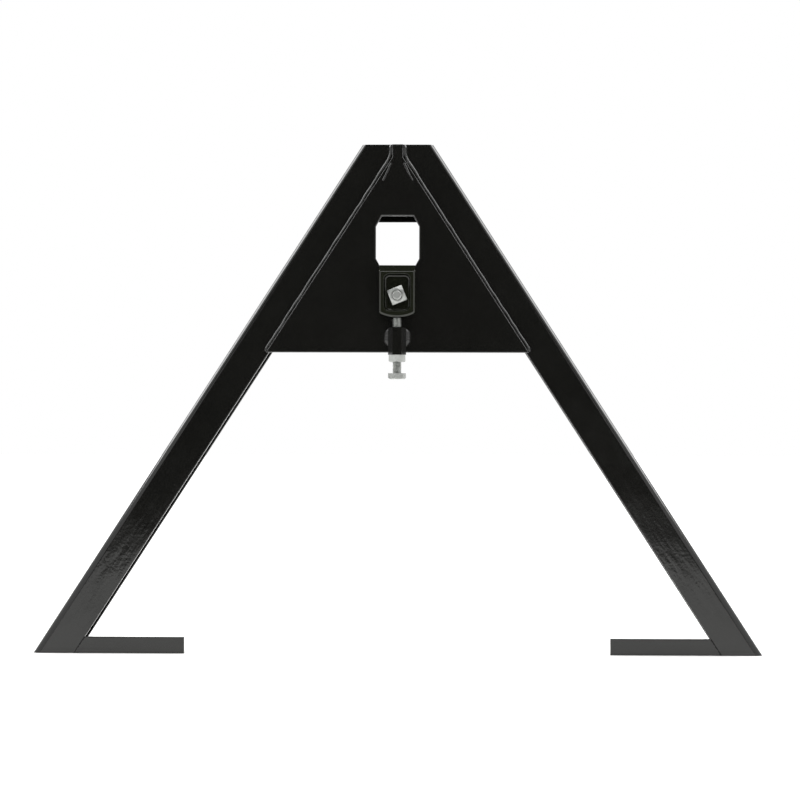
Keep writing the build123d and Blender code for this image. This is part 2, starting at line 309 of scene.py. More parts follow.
def carve(bm, tool, operation):
    """Joins, cuts or intersects a mesh with a tool mesh, at a millimetre scale, and returns the result."""
    for part in (bm, tool):
        bmesh.ops.scale(part, vec=(1 / MM, 1 / MM, 1 / MM), verts=part.verts)
    shape, cutter = mesh_object("carving", bm), mesh_object("carving_tool", tool)
    modifier = shape.modifiers.new("carve", "BOOLEAN")
    modifier.operation = operation
    modifier.solver = "EXACT"
    modifier.object = cutter
    finished = bpy.data.meshes.new_from_object(shape.evaluated_get(bpy.context.evaluated_depsgraph_get()))
    result = bmesh.new()
    result.from_mesh(finished)
    bmesh.ops.scale(result, vec=(MM, MM, MM), verts=result.verts)
    for mesh in (finished, shape.data, cutter.data):
        bpy.data.meshes.remove(mesh)
    return result


def add_piece(name, bm, body, material, nodes=(), crease=CREASE):
    """Makes a finished mesh a piece that rides on a body and stands for its nodes."""
    if not bm.faces:
        raise RuntimeError(f"{name} has no faces")
    piece = mesh_object(name, bm, material)
    piece.data.shade_smooth()
    piece.data.set_sharp_from_angle(angle=radians(crease))
    flats = piece.modifiers.new("Keep flat faces flat", "WEIGHTED_NORMAL")
    flats.keep_sharp = True
    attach(piece, body)
    if nodes:
        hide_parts(*nodes)


# Finishes

ENAMEL_IOR = 1.53
# Spacing of the rolling marks, and the scale of their noise along the sheet
ROLLING_MARK = 9 * MM
ROLLING_SCALE = 0.25
# Width of the patches in a coat
ENAMEL_PATCH = 45 * MM
ZINC_PATCH = 5 * MM
# Dust nibs: spacing, radius as a share of that, and height
DUST_SPACING = 11 * MM
DUST_RADIUS = 0.05
DUST_HEIGHT = 0.04 * MM
# Width and depth of the tumbling marks
ZINC_GRAIN = 0.5 * MM
ZINC_GRAIN_DEPTH = 0.02 * MM
# Least and most roughness of the patches, as multiples of a coat's own
ENAMEL_ROUGH_SPREAD = (0.7, 1.5)
ZINC_ROUGH_SPREAD = (0.85, 1.2)
# Most values of a noise lie between these
USUAL_NOISE = (0.3, 0.7)


def add_node(tree, kind, inputs=(), **settings):
    """Adds a node with its settings; an input is a value or a socket to link."""
    made = tree.nodes.new(kind)
    for name, value in settings.items():
        setattr(made, name, value)
    for name, value in dict(inputs).items():
        if isinstance(value, bpy.types.NodeSocket):
            tree.links.new(value, made.inputs[name])
        else:
            made.inputs[name].default_value = value
    return made


def start_material(name, looks=()):
    """A material with a Principled shader of the given looks, and its coordinates in metres on the object."""
    material = bpy.data.materials.new(name)
    material.use_nodes = True
    tree = material.node_tree
    shader = tree.nodes["Principled BSDF"]
    for label, value in dict(looks).items():
        shader.inputs[label].default_value = value
    place = add_node(tree, "ShaderNodeTexCoord").outputs["Object"]
    return material, tree, shader, place


def map_range(tree, value, low_in, high_in, low_out, high_out):
    """A value carried from one range to another."""
    ends = {"From Min": low_in, "From Max": high_in, "To Min": low_out, "To Max": high_out}
    return add_node(tree, "ShaderNodeMapRange", {"Value": value, **ends}).outputs["Result"]


def cloudy(tree, place, size, detail, roughness):
    """A 0 to 1 noise with features of about this size."""
    inputs = {"Vector": place, "Scale": 1 / size, "Detail": detail, "Roughness": roughness}
    return add_node(tree, "ShaderNodeTexNoise", inputs).outputs["Fac"]


def raised(tree, value, depth, strength=1.0, over=None):
    """A normal raised by a value, on top of an earlier normal where one is given."""
    inputs = {"Height": value, "Strength": strength, "Distance": depth}
    if over is not None:
        inputs["Normal"] = over
    return add_node(tree, "ShaderNodeBump", inputs).outputs["Normal"]


def tint(tree, value, first, second):
    """A mix of two colours, by a value."""
    mixed = add_node(tree, "ShaderNodeMix", {"Factor": value}, data_type="RGBA")
    mixed.inputs[6].default_value = (*first, 1)
    mixed.inputs[7].default_value = (*second, 1)
    return mixed.outputs[2]


def coat(tree, shader, normal, patches, roughness, spread, colours):
    """Gives a shader its normal, and a roughness and colour that change from patch to patch."""
    least, most = (roughness * times for times in spread)
    tree.links.new(normal, shader.inputs["Normal"])
    tree.links.new(map_range(tree, patches, *USUAL_NOISE, least, most), shader.inputs["Roughness"])
    tree.links.new(tint(tree, patches, *colours), shader.inputs["Base Color"])


def sprayed_enamel(name, finish, lean=0.0, colours=None):
    """Alkyd gloss enamel, sprayed on hot-rolled steel and air dried.
    It is near-black with a wet gloss, dimpled like orange peel, and lets the long rolling
    marks of the sheet show through as faint waves along the piece."""
    material, tree, shader, place = start_material(name, {"IOR": ENAMEL_IOR})
    along = add_node(tree, "ShaderNodeMapping", {"Vector": place, "Rotation": (0, lean, 0)}).outputs[0]
    marks = add_node(tree, "ShaderNodeMapping", {"Vector": along, "Scale": (1, 1, ROLLING_SCALE)}).outputs[0]
    waves = cloudy(tree, marks, ROLLING_MARK, detail=2.0, roughness=0.45)
    peel = cloudy(tree, place, finish.peel, detail=1.5, roughness=0.4)
    patches = cloudy(tree, place, ENAMEL_PATCH, detail=4.0, roughness=0.6)
    dust = add_node(tree, "ShaderNodeTexVoronoi", {"Vector": place, "Scale": 1 / DUST_SPACING})
    nibs = map_range(tree, dust.outputs["Distance"], 0.0, DUST_RADIUS, 1.0, 0.0)
    normal = raised(tree, waves, finish.wave_depth)
    normal = raised(tree, peel, finish.peel_depth, over=normal)
    normal = raised(tree, nibs, DUST_HEIGHT, strength=0.5, over=normal)
    coat(tree, shader, normal, patches, finish.enamel_roughness, ENAMEL_ROUGH_SPREAD,
         colours or (finish.enamel, finish.enamel_pale))
    return material


def zinc_plate(name, finish):
    """Bright zinc, electroplated on machined steel and passivated.
    It is a pale satin metal with fine tumbling marks and cloudy, slightly duller patches."""
    material, tree, shader, place = start_material(name, {"Metallic": 1.0})
    patches = cloudy(tree, place, ZINC_PATCH, detail=4.0, roughness=0.6)
    grain = cloudy(tree, place, ZINC_GRAIN, detail=3.0, roughness=0.65)
    normal = raised(tree, grain, ZINC_GRAIN_DEPTH, strength=0.6)
    coat(tree, shader, normal, patches, finish.zinc_roughness, ZINC_ROUGH_SPREAD,
         (finish.zinc, finish.zinc_dull))
    return material


def shared_material(name, make, *details):
    """The material of that name, made the first time that a piece asks for it."""
    return bpy.data.materials.get(name) or make(name, *details)


# Legs and plates

BEND_SEGMENTS = 10
FLANGE_SEGMENTS = 4
EDGE_SEGMENTS = 5
BURR_SEGMENTS = 2


def leg_mesh(steel):
    """Left leg: a channel bent from sheet, cut level at both ends and mitred on the centre plane."""
    lean = leg_lean(steel)
    sheet, near, far = steel.sheet, steel.implement_flange, steel.tractor_flange
    depth = leg_high.y - leg_low.y
    inside = depth - sheet
    bends = {(0, 0): steel.outer_bend, (0, depth): steel.outer_bend,
             (sheet, sheet): steel.inner_bend, (sheet, inside): steel.inner_bend}
    edges = dict.fromkeys([(near, 0), (near, sheet), (far, inside), (far, depth)], steel.edge_round)
    section = [(0, 0), (near, 0), (near, sheet), (sheet, sheet),
               (sheet, inside), (far, inside), (far, depth), (0, depth)]
    spare = 50 * MM
    bm = bmesh.new()
    start = bm.faces.new([bm.verts.new((x, y, -spare)) for x, y in section])
    push(bm, [start], (0, 0, height / cos(lean) + 2 * spare))
    for corners, segments in ((bends, BEND_SEGMENTS), (edges, FLANGE_SEGMENTS)):
        for (x, y), radius in corners.items():
            long = [e for e in bm.edges if e.calc_length() > height
                    and (e.verts[0].co.xy - Vector((x, y))).length < TOUCH]
            round_off(bm, long, radius, segments)
    axes = Matrix(((cos(lean), 0, sin(lean)), (0, 1, 0), (-sin(lean), 0, cos(lean)))).to_4x4()
    bmesh.ops.transform(bm, matrix=Matrix.Translation((-half_base, flange_face, 0)) @ axes, verts=bm.verts)
    cut_off(bm, (0, 0, 0), (1, 0, 0))
    cut_level(bm, 0, height)
    face_outwards(bm)
    caps = [f for f in bm.faces if abs(f.normal.z) > FACING]
    off_mitre = [e for f in caps for e in f.edges if abs(e.verts[0].co.x) + abs(e.verts[1].co.x) > MM]
    round_off(bm, off_mitre, steel.burr, BURR_SEGMENTS)
    return bm


def plate_points(steel, bottom, width):
    """Outline of a plate between the legs, which ends in a narrow neck."""
    low = inside_leg(steel, bottom, width)
    lean = leg_lean(steel)
    neck = steel.neck_half_width
    knee = (half_base - width / cos(lean) - neck) / tan(lean)
    right = [(low, bottom), (neck, knee), (neck, height)]
    return right + [(-x, z) for x, z in reversed(right)]


def opening_points(steel):
    """Latch opening with its four corners cut off."""
    top = height - steel.opening_below_top
    half_width, half_height = steel.opening_width / 2, steel.opening_height / 2
    corner = [(half_width - steel.opening_corner_width, half_height),
              (half_width, half_height - steel.opening_corner_height)]
    right = corner + [(x, -z) for x, z in reversed(corner)]
    around = right + [(-x, z) for x, z in reversed(right)]
    return [(x, top - half_height + z) for x, z in around]


def box_points(half_width, low, high):
    return [(half_width, low), (half_width, high), (-half_width, high), (-half_width, low)]


def plate_mesh(loops, face_y, back_y, round_radius, burr):
    """A flat plate with the given outline and holes; face_y gets the rounded edges."""
    bm = bmesh.new()
    edges = []
    for points in loops:
        edges += outline(bm, points, face_y)
    bmesh.ops.triangle_fill(bm, edges=edges, use_beauty=True)
    push(bm, bm.faces[:], (0, back_y - face_y, 0))
    face_outwards(bm)
    for y, radius, segments in ((face_y, round_radius, EDGE_SEGMENTS), (back_y, burr, BURR_SEGMENTS)):
        rim = [e for e in bm.edges if all(abs(v.co.y - y) < TOUCH for v in e.verts)
               and any(abs(f.normal.y) < FACING for f in e.link_faces)]
        round_off(bm, rim, radius, segments)
    return bm


def foot_mesh(steel):
    """Right foot bar: a flat bar, drawn too long and cut to the slope of the leg's flange."""
    lean = leg_lean(steel)
    size = foot_high - foot_low
    drawn = size.x * 1.2
    bm = block((drawn, size.y, size.z),
               (foot_low.x + drawn / 2, (foot_low.y + foot_high.y) / 2, (foot_low.z + foot_high.z) / 2))
    long = [e for e in bm.edges if abs(e.verts[0].co.x - e.verts[1].co.x) > size.x]
    round_off(bm, long, steel.edge_round, EDGE_SEGMENTS)
    root = inside_leg(steel, 0, steel.implement_flange + steel.foot_weld_gap)
    cut_off(bm, (root, 0, 0), (cos(lean), 0, sin(lean)))
    inner = [f for f in bm.faces if f.normal.x < -FACING]
    round_off(bm, [e for f in inner for e in f.edges], steel.burr, BURR_SEGMENTS)
    return bm


class HITCH_OT_add_legs(bpy.types.Operator):
    """Adds the two channel legs"""
    bl_idname = "hitch.add_legs"
    bl_label = "Legs"

    def execute(self, context):
        steel, finish = context.scene.hitch_steel, context.scene.hitch_finish
        for side, lean in (("left", -leg_lean(steel)), ("right", leg_lean(steel))):
            bm = leg_mesh(steel)
            if side == "right":
                other_side(bm)
            paint = sprayed_enamel(f"{side}_leg_gloss_enamel", finish, lean)
            add_piece(f"{side}_leg", bm, "frame", paint, [f"{side}_leg_channel"])
        return {"FINISHED"}


class HITCH_OT_add_plates(bpy.types.Operator):
    """Adds the latch plate, the apex plate and the foot bars"""
    bl_idname = "hitch.add_plates"
    bl_label = "Plates and feet"

    def execute(self, context):
        steel, finish = context.scene.hitch_steel, context.scene.hitch_finish
        paint = shared_material("plate_gloss_enamel", sprayed_enamel, finish)
        slot_middle = clamp_height + steel.slot_rise
        slot = box_points(steel.slot_width / 2, slot_middle - steel.slot_height / 2,
                          slot_middle + steel.slot_height / 2)
        outer = plate_points(steel, plate_low.z, steel.implement_flange - steel.plate_lap)
        latch = plate_mesh([outer, opening_points(steel), slot], plate_face, plate_high.y, steel.plate_round,
                           steel.burr)
        add_piece("latch_plate_painted", latch, "frame", paint, ["latch_plate"])
        outer = plate_points(steel, apex_low.z, steel.tractor_flange - steel.plate_lap)
        apex = plate_mesh([outer], apex_high.y, apex_low.y, steel.plate_round, steel.burr)
        add_piece("apex_plate_painted", apex, "frame", paint, ["apex_plate"])
        for side in ("left", "right"):
            bm = foot_mesh(steel)
            if side == "left":
                other_side(bm)
            add_piece(f"{side}_foot", bm, "frame", paint, [f"{side}_foot_bar"])
        return {"FINISHED"}


# Welds

BEAD_SIDES = 18
RINGS_PER_RIPPLE = 8
# Lean and sharpness of a ripple's crest
RIPPLE_LEAN = 0.8
RIPPLE_POWER = 0.7
# Share of the waver in the crown
CROWN_WAVER = 0.6
# Shares of a bead's leg: where its ends close, and how deep it lies in the metal
HEART = 0.25
BEAD_SINK = 0.62
# From a seam's top down to its widest place
SWELL_DROP = 28 * MM
# Length to each side of the knee over which a seam turns
KNEE_TURN = 7 * MM
# What a seam leaves free of the edge that it climbs, and what a foot weld laps over its gap
EDGE_LEFT = 0.4 * MM
FOOT_LAP = 1.2 * MM
# The long nut's welds: size against the seams, ends below the nut's top, and reach on the plate
NUT_WELD_SIZE = 1.3
NUT_WELD_ENDS = (21 * MM, 1 * MM)
NUT_WELD_TOE = 1.6
# Ends of the short bead: from the centre plane, and below the cut top
SHORT_BEAD_ENDS = ((6.5 * MM, 20 * MM), (16.5 * MM, 40 * MM))
# Steps between the beads' seeds, and what keeps them off whole numbers, where the noise is flat
WELD_SEEDS = 7
SIDE_SEEDS = 3
OFF_GRID = 0.37


def bead_mesh(run, station, leg, sink, bold, welds, seed, swollen=None, step=1.0):
    """A closed weld bead, drawn out of a sphere along a run.
    station(distance) gives the root, the ways to both toes and the way out of the metal.
    bold scales the crown, ripples and waver; swollen is where along the run the bead is widest.
    step is the height of the metal that the second toe climbs."""
    rings = ceil(run / welds.ripple) * RINGS_PER_RIPPLE
    bm = bmesh.new()
    bmesh.ops.create_uvsphere(bm, u_segments=BEAD_SIDES, v_segments=rings, radius=1)
    for vert in bm.verts:
        along = acos(max(-1.0, min(1.0, vert.co.z))) / pi
        around = atan2(vert.co.y, vert.co.x) / pi
        s = along * run
        root, first, second, out = station(s)
        across = abs(around)
        hump = 4 * across * (1 - across)
        wide = leg
        if swollen is not None:
            wide *= 1 + welds.swell * exp(-((s - swollen) / welds.swell_length) ** 2)
        wander = [noise.noise(Vector((s / welds.waver_length, seed, k))) * welds.waver * bold
                  for k in range(3)]
        climb = min(wide + wander[1], step)
        chord = root + first * ((wide + wander[0]) * (1 - across)) + second * (climb * across)
        ripple = abs(sin(pi * (s - welds.ripple * hump * RIPPLE_LEAN) / welds.ripple)) ** RIPPLE_POWER
        lift = -sink
        if around >= 0:
            lift = (welds.crown + welds.ripple_height * ripple) * bold + wander[2] * CROWN_WAVER
        point = chord + out * (lift * hump)
        heart = root + (first + second) * (leg * HEART)
        near_end = min(s, run - s) / leg
        taper = sqrt(max(0.0, 1 - (1 - min(1.0, near_end)) ** 2))
        vert.co = heart + (point - heart) * taper
    face_outwards(bm)
    return bm


def seam(steel, bottom, width, face_y, towards_y):
    """Length and stations of the fillet along a plate's right-hand edge, up to the cut top."""
    lean = leg_lean(steel)
    up, out = Vector((-sin(lean), 0, cos(lean))), Vector((cos(lean), 0, sin(lean)))
    side = Vector((0, towards_y, 0))
    neck = steel.neck_half_width
    knee_z = (half_base - width / cos(lean) - neck) / tan(lean)
    start = Vector((inside_leg(steel, bottom, width), face_y, bottom))
    knee = Vector((neck, face_y, knee_z))
    sloped = (knee - start).length

    def station(s):
        turned = max(0.0, min(1.0, (s - sloped + KNEE_TURN) / (2 * KNEE_TURN)))
        if turned in (0.0, 1.0):
            root = start + up * s if s < sloped else knee + Vector((0, 0, s - sloped))
        else:
            before, after = knee - up * KNEE_TURN, knee + Vector((0, 0, KNEE_TURN))
            root = before.lerp(knee, turned).lerp(knee.lerp(after, turned), turned)
        outward = out.lerp(Vector((1, 0, 0)), turned).normalized()
        return root, outward, side, (outward + side).normalized()

    return sloped + height - knee_z, station


def straight(start, end, first, second, out):
    """Length and stations of a straight run."""
    start, end = Vector(start), Vector(end)
    run = (end - start).length
    return run, lambda s: (start.lerp(end, s / run), first, second, out)


def foot_seam(steel):
    """The flat weld between the right leg and its foot bar, drawn past both faces of the bar."""
    lean = leg_lean(steel)
    across = Vector((cos(lean), 0, sin(lean)))
    width, past = steel.implement_flange + steel.foot_weld_gap / 2, 5 * MM
    ends = [(inside_leg(steel, z, width), flange_face, z) for z in (-past, foot_high.z + past)]
    return straight(*ends, across, -across, Vector((0, -1, 0)))


def long_nut_seam():
    """The fillet between the plate and the long nut's right-hand flat."""
    flat = tan(pi / 6) * (long_nut_high.y - long_nut_low.y) / 2
    on_plate, on_nut = Vector((NUT_WELD_TOE, 0, 0)), Vector((sin(pi / 6), -cos(pi / 6), 0))
    facing = Vector((on_plate.y - on_nut.y, on_nut.x - on_plate.x, 0)).normalized()
    ends = [(flat, plate_face, long_nut_high.z - below) for below in NUT_WELD_ENDS]
    return straight(*ends, on_plate, on_nut, facing)


def short_seam():
    """The short bead on the plate, inside the right-hand seam near its top."""
    top, end = (Vector((x, plate_face, height - below)) for x, below in SHORT_BEAD_ENDS)
    across = Vector(((top - end).z, 0, (end - top).x)).normalized()
    return straight(top, end, across, -across, Vector((0, -1, 0)))


class HITCH_OT_add_welds(bpy.types.Operator):
    """Adds the weld beads"""
    bl_idname = "hitch.add_welds"
    bl_label = "Welds"

    def execute(self, context):
        scene = context.scene
        steel, welds = scene.hitch_steel, scene.hitch_welds
        paint = shared_material("weld_gloss_enamel", sprayed_enamel, scene.hitch_finish)
        seams = {
            "plate_weld": seam(steel, plate_low.z, steel.implement_flange - steel.plate_lap, flange_face, -1),
            "apex_weld": seam(steel, apex_low.z, steel.tractor_flange - steel.plate_lap, leg_high.y, 1),
            "foot_weld": foot_seam(steel),
            "long_nut_weld": long_nut_seam(),
            "short_weld": short_seam(),
        }
        legs = {"foot_weld": steel.foot_weld_gap / 2 + FOOT_LAP, "long_nut_weld": welds.leg * NUT_WELD_SIZE,
                "short_weld": welds.short_width / 2}
        sinks = {"foot_weld": steel.sheet}
        crowns = {"foot_weld": welds.foot_bold, "short_weld": welds.short_bold}
        for count, (name, (run, station)) in enumerate(seams.items()):
            leg = legs.get(name, welds.leg)
            sink = sinks.get(name, leg * BEAD_SINK)
            along_plate = {}
            if name in ("plate_weld", "apex_weld"):
                along_plate = {"swollen": run - SWELL_DROP, "step": plate_high.y - plate_low.y - EDGE_LEFT}
            for hand, side in enumerate(("left", "right")):
                seed = scene.hitch_stage.seed + WELD_SEEDS * count + SIDE_SEEDS * hand + OFF_GRID
                bm = bead_mesh(run, station, leg, sink, crowns.get(name, 1.0), welds, seed, **along_plate)
                if name == "foot_weld":
                    cut_level(bm, 0, foot_high.z)
                if side == "left":
                    other_side(bm)
                nodes = [] if name == "short_weld" else [f"{side}_{name}"]
                add_piece(f"{side}_{name}_bead", bm, "frame", paint, nodes, BEAD_CREASE)
        return {"FINISHED"}


# Fasteners

# A thread's flat root and flat crest, as shares of its pitch, and its depth in pitches
THREAD_ROOT = (0.0, 0.22)
THREAD_CREST = (0.54, 0.68)
THREAD_DEPTH = 0.61
THREAD_STEPS = 40
# Ring on a hexagon's turned end, as a share of its width across flats
RING_SHARE = 0.93
# Slope of the turned cones on the hexagons and on the square nut
HEXAGON_CONE = tan(radians(32))
SQUARE_CONE = tan(radians(30))
# Keeps a turned surface just off the corners of the prism that it trims
CLEAR = 1.0002
DOME_STEPS = 14
# Edge of the clamp bolt's head and of the washer
BLUNT = 0.3 * MM


def turned(points, segments=64):
    """A body of revolution about Z from radius and height points that start and end on the axis."""
    bm = bmesh.new()
    verts = [bm.verts.new((r, 0, z)) for r, z in points]
    edges = [bm.edges.new(pair) for pair in zip(verts, verts[1:])]
    spin(bm, verts + edges, segments, use_merge=True)
    face_outwards(bm)
    return bm


def nut_mesh(fasteners, sides, tall, low_ring, high_ring, slope, bore=True):
    """A nut or head along +Z: flats met by turned cones where an end has a ring radius."""
    inscribed = fasteners.across_flats / 2
    corner = inscribed / cos(pi / sides)
    low_end = [(corner, 0)]
    if low_ring:
        low_end = [(low_ring, 0), (corner, (corner - low_ring) * slope)]
    high_end = [(corner, tall)]
    if high_ring:
        high_end = [(corner, tall - (corner - high_ring) * slope), (high_ring, tall)]
    profile = [(0, 0)] + low_end + high_end + [(0, tall)]
    blank = bmesh.new()
    bmesh.ops.create_cone(blank, cap_ends=True, segments=sides, radius1=corner, radius2=corner, depth=tall)
    bmesh.ops.translate(blank, verts=blank.verts, vec=(0, 0, tall / 2))
    body = carve(blank, turned([(r * CLEAR, z) for r, z in profile]), "INTERSECT")
    if not bore:
        return body
    hole, sunk = fasteners.bore_radius, fasteners.countersink
    wide = hole + sunk
    over = 0.2 * MM
    drill = turned([(0, -over), (wide + over, -over), (hole, sunk), (hole, tall - sunk),
                    (wide + over, tall + over), (0, tall + over)], 48)
    return carve(body, drill, "DIFFERENCE")


def thread_mesh(fasteners, low, high):
    """A rolled thread along Z, one screw surface, with a cone at its high end."""
    pitch, crest = fasteners.pitch, fasteners.thread_radius
    root = crest - THREAD_DEPTH * pitch
    spare, merge = 2, 0.001 * MM
    bm = bmesh.new()
    profile = []
    for turn in range(-spare, ceil((high - low) / pitch) + 1):
        for radius, flat in ((root, THREAD_ROOT), (crest, THREAD_CREST)):
            profile += [bm.verts.new((radius, 0, low + turn * pitch + rise * pitch)) for rise in flat]
    edges = [bm.edges.new(pair) for pair in zip(profile, profile[1:])]
    spin(bm, profile + edges, THREAD_STEPS, dvec=(0, 0, pitch / THREAD_STEPS))
    bmesh.ops.remove_doubles(bm, verts=bm.verts, dist=merge)
    cut_level(bm, low, high)
    for vert in bm.verts:
        reach = vert.co.xy.length
        limit = crest - max(0.0, fasteners.tip_chamfer - (high - vert.co.z))
        if reach > limit:
            vert.co.xy *= limit / reach
    face_outwards(bm)
    return bm


def stand(bm, x, y, z, turn=0.0, tilt=0.0):
    """Turns a fastener about its own axis, tilts it about X and puts it in place."""
    matrix = Matrix.Translation((x, y, z)) @ Matrix.Rotation(tilt, 4, "X") @ Matrix.Rotation(turn, 4, "Z")
    bmesh.ops.transform(bm, matrix=matrix, verts=bm.verts)
    return bm


class HITCH_OT_add_adjuster(bpy.types.Operator):
    """Adds the long nut, the adjusting bolt and its lock nut"""
    bl_idname = "hitch.add_adjuster"
    bl_label = "Adjuster"

    def execute(self, context):
        parts, finish = context.scene.hitch_fasteners, context.scene.hitch_finish
        zinc = shared_material("zinc_plated_steel", zinc_plate, finish)
        ring = parts.across_flats / 2 * RING_SHARE
        tall = long_nut_high.z - long_nut_low.z
        nut = nut_mesh(parts, 6, tall, None, ring, HEXAGON_CONE)
        stand(nut, 0, adjuster_y, long_nut_low.z, pi / 6)
        paint = shared_material("plate_gloss_enamel", sprayed_enamel, finish)
        add_piece("long_nut_painted", nut, "frame", paint, ["long_nut"])
        tall = lock_nut_high.z - lock_nut_low.z
        nut = nut_mesh(parts, 6, tall, ring, None, HEXAGON_CONE)
        stand(nut, 0, adjuster_y, lock_nut_low.z, pi / 6 + parts.lock_nut_turn)
        add_piece("lock_nut_plated", nut, "lock_nut", zinc, ["adjuster_lock_nut"])
        head = nut_mesh(parts, 6, parts.head_height, ring, None, HEXAGON_CONE, bore=False)
        stand(head, 0, 0, 0, pi / 6 + parts.bolt_head_turn)
        buried = 0.5 * MM
        shank = thread_mesh(parts, parts.head_height - buried, bolt_high.z - bolt_low.z)
        bolt = stand(carve(head, shank, "UNION"), 0, adjuster_y, bolt_low.z)
        add_piece("adjusting_bolt_plated", bolt, "adjusting_bolt", zinc, ["adjusting_bolt"])
        return {"FINISHED"}


def washer_mesh(parts):
    """A spring washer, split and pressed flat."""
    outer, inner = (washer_high.x - washer_low.x) / 2, parts.washer_bore
    thick = washer_high.y - washer_low.y
    bm = bmesh.new()
    section = [(inner, 0), (outer, 0), (outer, thick), (inner, thick)]
    face = bm.faces.new([bm.verts.new((r, 0, z)) for r, z in section])
    round_off(bm, face.verts[:], BLUNT, 2, affect="VERTICES")
    spin(bm, bm.faces[:], 56, 2 * pi - parts.washer_split / outer)
    face_outwards(bm)
    return bm


class HITCH_OT_add_clamp(bpy.types.Operator):
    """Adds the clamp bolt, its spring washer and its square nut"""
    bl_idname = "hitch.add_clamp"
    bl_label = "Clamp"

    def execute(self, context):
        parts, finish = context.scene.hitch_fasteners, context.scene.hitch_finish
        zinc = shared_material("zinc_plated_steel", zinc_plate, finish)
        ring = parts.square_nut_ring / 2
        nut = nut_mesh(parts, 4, parts.square_nut_height, None, ring, SQUARE_CONE)
        stand(nut, 0, square_nut_high.y, clamp_height, pi / 4 + parts.square_nut_turn, pi / 2)
        add_piece("square_nut_plated", nut, "clamp_nut", zinc, ["clamp_square_nut"])
        washer = stand(washer_mesh(parts), 0, washer_high.y, clamp_height, pi / 2, pi / 2)
        add_piece("spring_washer_plated", washer, "clamp_washer", zinc, ["clamp_lock_washer"])
        add_piece("carriage_bolt_plated", carriage_bolt_mesh(parts), "keeper", zinc,
                  ["clamp_carriage_bolt"])
        return {"FINISHED"}


def carriage_bolt_mesh(parts):
    """The clamp bolt: a domed head, a square neck and a threaded end towards the implement."""
    radius = (clamp_high.x - clamp_low.x) / 2
    seat = plate_high.y
    dome = clamp_high.y - seat
    rise = dome - parts.dome_rim
    sphere = (radius ** 2 + rise ** 2) / (2 * rise)
    widest = atan2(radius, sphere - rise)
    arc = []
    for k in range(DOME_STEPS):
        polar = widest * (1 - k / DOME_STEPS)
        arc.append((sphere * sin(polar), rise - sphere + sphere * cos(polar) + parts.dome_rim))
    over, neck_edge = 0.3 * MM, 0.6 * MM
    head = turned([(0, 0), (radius - BLUNT, 0), (radius, BLUNT)] + arc + [(0, dome)], 72)
    neck = block((parts.neck_side, parts.neck_side, parts.neck_length + over),
                 (0, 0, (over - parts.neck_length) / 2))
    long = [e for e in neck.edges if abs(e.verts[0].co.z - e.verts[1].co.z) > MM]
    round_off(neck, long, neck_edge, 3)
    shank = thread_mesh(parts, 0, seat - clamp_low.y)
    bmesh.ops.rotate(shank, cent=(0, 0, 0), matrix=Matrix.Rotation(pi, 3, "X"), verts=shank.verts)
    bolt = carve(carve(head, neck, "UNION"), shank, "UNION")
    return stand(bolt, 0, seat, clamp_height, 0, -pi / 2)


# Keeper

def flat_cap(bm, points, y, towards):
    """A flat face through X and Z points, turned towards or against Y."""
    face = bmesh.ops.contextual_create(bm, geom=outline(bm, points, y))["faces"][0]
    if face.normal.y * towards < 0:
        bmesh.ops.reverse_faces(bm, faces=[face])


def quarter_circle(bm, cap, radius, segments, from_wall=True):
    """Carries a cap on along a quarter circle: from the wall into the cap, or from the cap into a wall."""
    angles = [pi / 2 * k / segments for k in range(segments + 1)]
    for before, after in zip(angles, angles[1:]):
        steep, level = radius * (sin(after) - sin(before)), radius * (cos(before) - cos(after))
        thickness, depth = (level, steep) if from_wall else (steep, level)
        bmesh.ops.inset_region(bm, faces=cap, thickness=thickness, depth=depth, use_even_offset=True)


def recess_tool(keeper):
    """The recess's space, from its rounded mouth through straight walls to a curved floor."""
    rim, spare = keeper.recess_rim, 0.4 * MM
    top = keeper_high.z - keeper.head
    bm = bmesh.new()
    points = box_points(keeper.recess_width / 2 + rim, top - keeper.recess_height - rim, top + rim)
    flat_cap(bm, points, keeper_low.y - spare, 1)
    round_off(bm, bm.verts[:], keeper.recess_corner + rim, 10, affect="VERTICES")
    cap = push(bm, bm.faces[:], (0, spare, 0))
    quarter_circle(bm, cap, rim, 4, from_wall=False)
    wall = keeper_high.y - keeper_low.y - keeper.floor - rim - keeper.recess_floor_radius
    cap = push(bm, cap, (0, wall, 0))
    quarter_circle(bm, cap, keeper.recess_floor_radius, 7)
    face_outwards(bm)
    return bm


